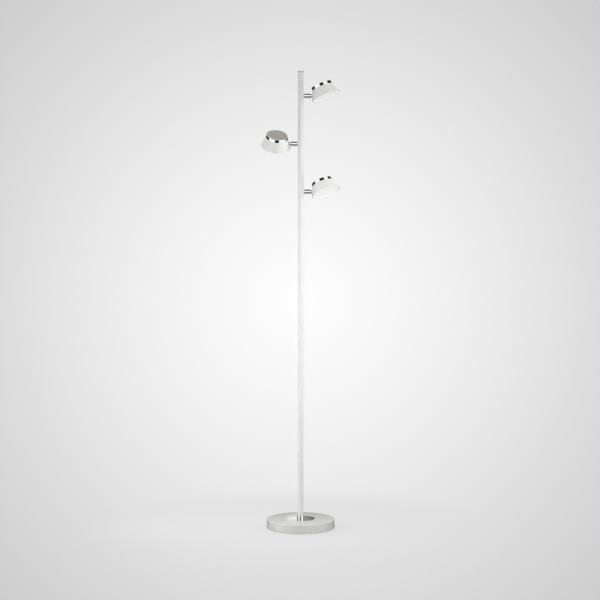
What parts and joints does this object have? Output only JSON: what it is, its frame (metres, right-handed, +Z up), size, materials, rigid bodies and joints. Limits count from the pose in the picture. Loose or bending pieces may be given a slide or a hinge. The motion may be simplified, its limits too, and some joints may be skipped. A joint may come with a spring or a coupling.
{
  "type": "floor lamp",
  "caption": "Tree floor lamp: heavy round base, slim pole and short swivelling arms that carry tilting conical light heads with flat diffusers.",
  "frame": {"origin": "on the pole's axis, at the floor under the base", "axes": "+Z up along the pole; +X from the pole towards the lower and upper heads; +Y to the back, where the cord gland is"},
  "size_m": [0.2772, 0.2376, 1.6],
  "materials": {
    "base_paint": "satin pale grey-white paint",
    "pole_paint": "satin pale grey-white paint",
    "shade_paint": "satin white paint",
    "bright_chrome": "polished",
    "satin_top": "fine satin",
    "casting": "raw casting",
    "plated_steel": "zinc plated",
    "pad_rubber": "matt",
    "gland_rubber": "matt",
    "driver_plastic": "fine grain",
    "wire_sheath": "smooth sheath",
    "nylon": "smooth",
    "sink_aluminium": "cast",
    "board_white": "solder mask",
    "phosphor": "glossy",
    "opal": "opal, satin",
    "bezel_plastic": "satin",
    "socket_zinc": "zinc casting"
  },
  "bodies": {
    "stand": {"base_cover": "base_paint", "base_weight": "casting", "bottom_plate": "plated_steel", "base_screws": "plated_steel", "foot_pad": "pad_rubber", "inlay_plate": "bright_chrome", "collar": "bright_chrome", "pole": "pole_paint", "pole_cap": "bright_chrome", "pole_stud": "plated_steel", "pole_nut": "plated_steel", "cable_gland": "gland_rubber", "driver_case": "driver_plastic", "supply_wire": "wire_sheath", "arm_spigots": "pole_paint", "friction_washers": "nylon"},
    "lower_arm": {"lower_arm_sleeve": "bright_chrome", "lower_ball_stud": "bright_chrome", "lower_cross_pin": "plated_steel", "lower_grub_screw": "plated_steel"},
    "lower_head": {"lower_shade": "shade_paint", "lower_cap_ring": "bright_chrome", "lower_cap_disc": "satin_top", "lower_heat_sink": "sink_aluminium", "lower_led_board": "board_white", "lower_led_chips": "phosphor", "lower_diffuser": "opal", "lower_bezel_ring": "bezel_plastic", "lower_socket": "socket_zinc", "lower_head_screws": "plated_steel"},
    "middle_arm": {"middle_arm_sleeve": "bright_chrome", "middle_ball_stud": "bright_chrome", "middle_cross_pin": "plated_steel", "middle_grub_screw": "plated_steel"},
    "middle_head": {"middle_shade": "shade_paint", "middle_cap_ring": "bright_chrome", "middle_cap_disc": "satin_top", "middle_heat_sink": "sink_aluminium", "middle_led_board": "board_white", "middle_led_chips": "phosphor", "middle_diffuser": "opal", "middle_bezel_ring": "bezel_plastic", "middle_socket": "socket_zinc", "middle_head_screws": "plated_steel"},
    "upper_arm": {"upper_arm_sleeve": "bright_chrome", "upper_ball_stud": "bright_chrome", "upper_cross_pin": "plated_steel", "upper_grub_screw": "plated_steel"},
    "upper_head": {"upper_shade": "shade_paint", "upper_cap_ring": "bright_chrome", "upper_cap_disc": "satin_top", "upper_heat_sink": "sink_aluminium", "upper_led_board": "board_white", "upper_led_chips": "phosphor", "upper_diffuser": "opal", "upper_bezel_ring": "bezel_plastic", "upper_socket": "socket_zinc", "upper_head_screws": "plated_steel"}
  },
  "joints": [
    {"name": "lower_swivel", "type": "hinge", "parent": "stand", "child": "lower_arm", "pos_m": [0, 0, 1.177], "axis": [1, 0, 0], "range_deg": [-136.5, 163.5]},
    {"name": "lower_tilt", "type": "hinge", "parent": "lower_arm", "child": "lower_head", "pos_m": [0.0495, 0, 1.177], "axis": [0, -0.9724, 0.2334], "range_deg": [-17, 23]},
    {"name": "middle_swivel", "type": "hinge", "parent": "stand", "child": "middle_arm", "pos_m": [0, 0, 1.345], "axis": [-1, 0, 0], "range_deg": [-114, 186]},
    {"name": "middle_tilt", "type": "hinge", "parent": "middle_arm", "child": "middle_head", "pos_m": [-0.0495, 0, 1.345], "axis": [0, 0.809, 0.5878], "range_deg": [-5.6, 34.4]},
    {"name": "upper_swivel", "type": "hinge", "parent": "stand", "child": "upper_arm", "pos_m": [0, 0, 1.513], "axis": [1, 0, 0], "range_deg": [-149, 151]},
    {"name": "upper_tilt", "type": "hinge", "parent": "upper_arm", "child": "upper_head", "pos_m": [0.0495, 0, 1.513], "axis": [0, -0.9998, 0.0175], "range_deg": [-19, 21]}
  ]
}
